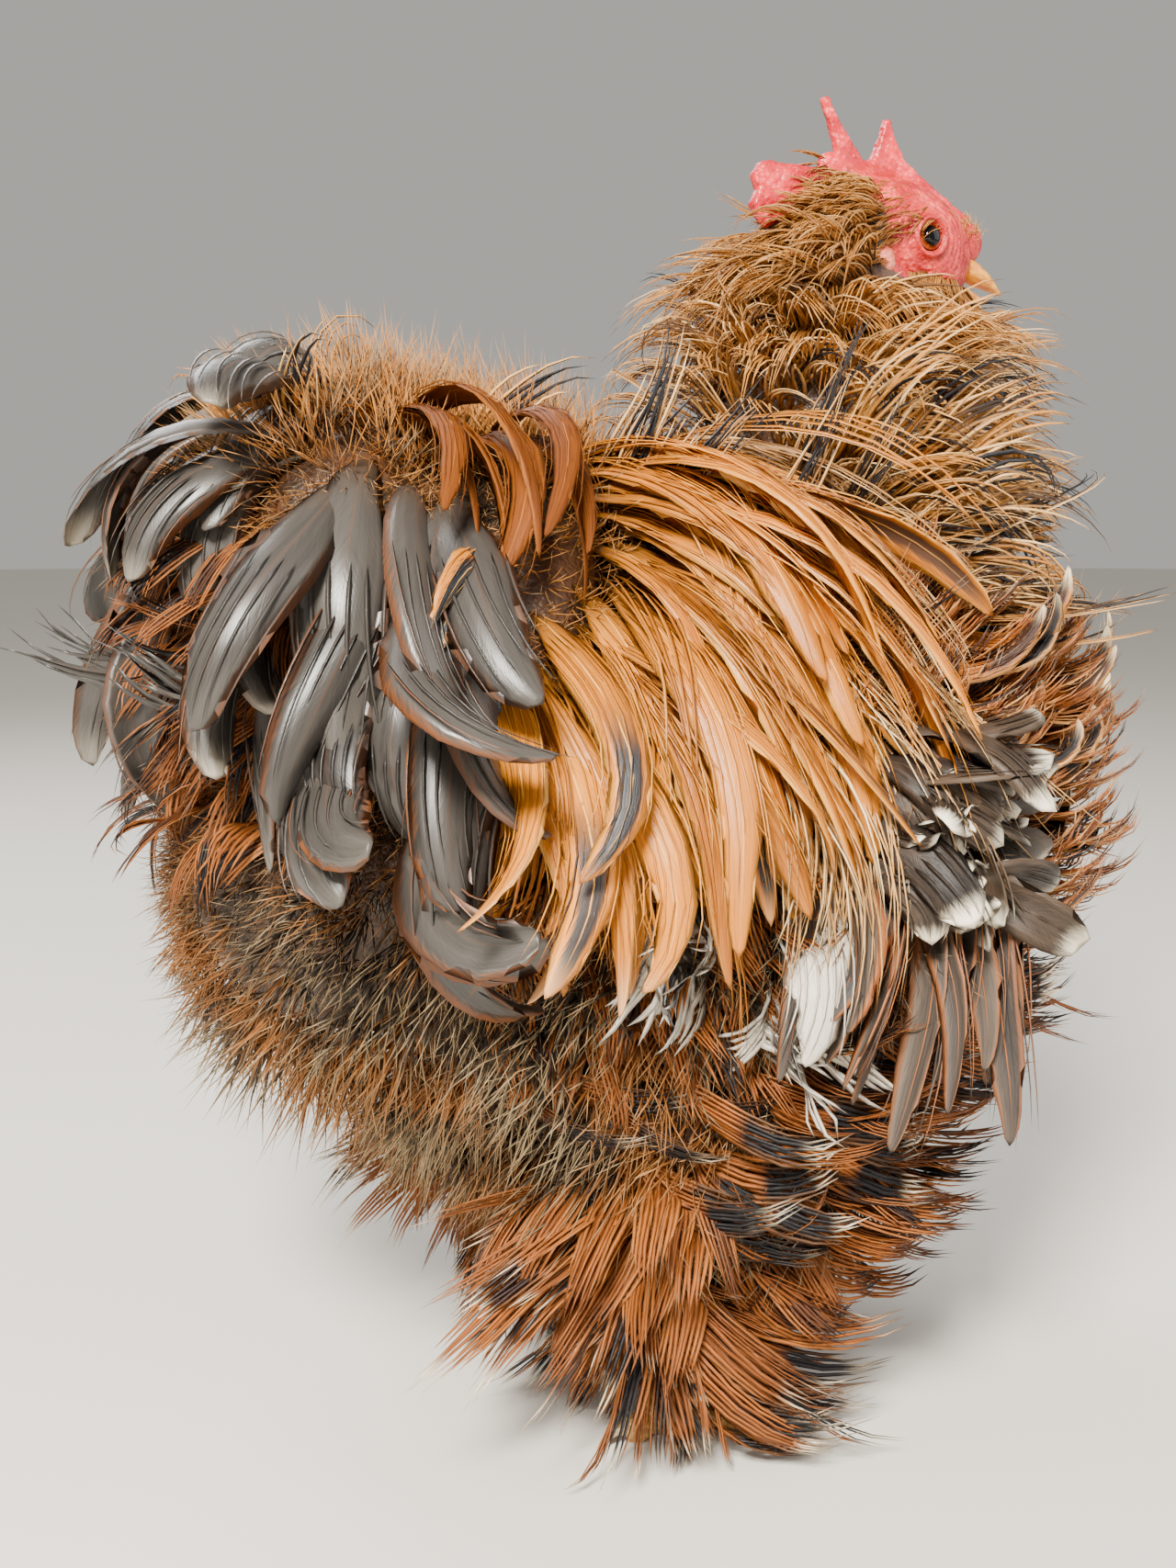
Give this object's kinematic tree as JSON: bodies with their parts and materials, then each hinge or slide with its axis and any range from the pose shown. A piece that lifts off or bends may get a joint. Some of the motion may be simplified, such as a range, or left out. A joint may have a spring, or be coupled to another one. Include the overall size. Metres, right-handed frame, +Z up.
{
  "type": "frizzle chicken",
  "caption": "Life-size standing frizzle chicken with outward-curled plumage in tiers, red single comb, drooping saddle and tail feathers and feathered legs.",
  "frame": {"origin": "on the floor under the middle of the bird's bounding box, between its feet", "axes": "+X towards the beak, +Y towards the bird's left side, +Z up"},
  "size_m": [0.3616, 0.2814, 0.41],
  "materials": {
    "face_skin": "soft, finely pebbled red skin",
    "comb_skin": "waxy, pebbled red skin",
    "beak_horn": "smooth yellow horn with a browner ridge",
    "claw_horn": "smooth horn",
    "foot_skin": "scaly skin",
    "eye": "wet orange-brown iris with a black pupil",
    "hackle_feather": "silky curled feathers, gold edges and slate centres",
    "breast_feather": "glossy red-brown curled feathers with dark spots",
    "saddle_feather": "long silky chestnut feathers with slate stripes",
    "tail_feather": "glossy slate-black curled feathers",
    "wing_feather": "slate flight feathers, black coverts with cream tips",
    "fluff": "soft rust and slate-grey down with pale hair tips"
  },
  "bodies": {
    "root": {"head": "face_skin", "comb": "comb_skin", "beak_upper": "beak_horn", "beak_lower": "beak_horn", "eye_left": "eye", "eye_right": "eye", "earlobe_left": "comb_skin", "earlobe_right": "comb_skin", "wattle_left": "comb_skin", "wattle_right": "comb_skin", "neck": "hackle_feather", "torso": "breast_feather", "saddle": "saddle_feather", "tail": "tail_feather", "wing_left": "wing_feather", "wing_right": "wing_feather", "thigh_left": "fluff", "thigh_right": "fluff", "shank_left": "fluff", "shank_right": "fluff", "foot_left": "foot_skin", "foot_right": "foot_skin", "claw_left_outer": "claw_horn", "claw_left_middle": "claw_horn", "claw_left_inner": "claw_horn", "claw_left_hind": "claw_horn", "claw_right_outer": "claw_horn", "claw_right_middle": "claw_horn", "claw_right_inner": "claw_horn", "claw_right_hind": "claw_horn"}
  },
  "joints": []
}
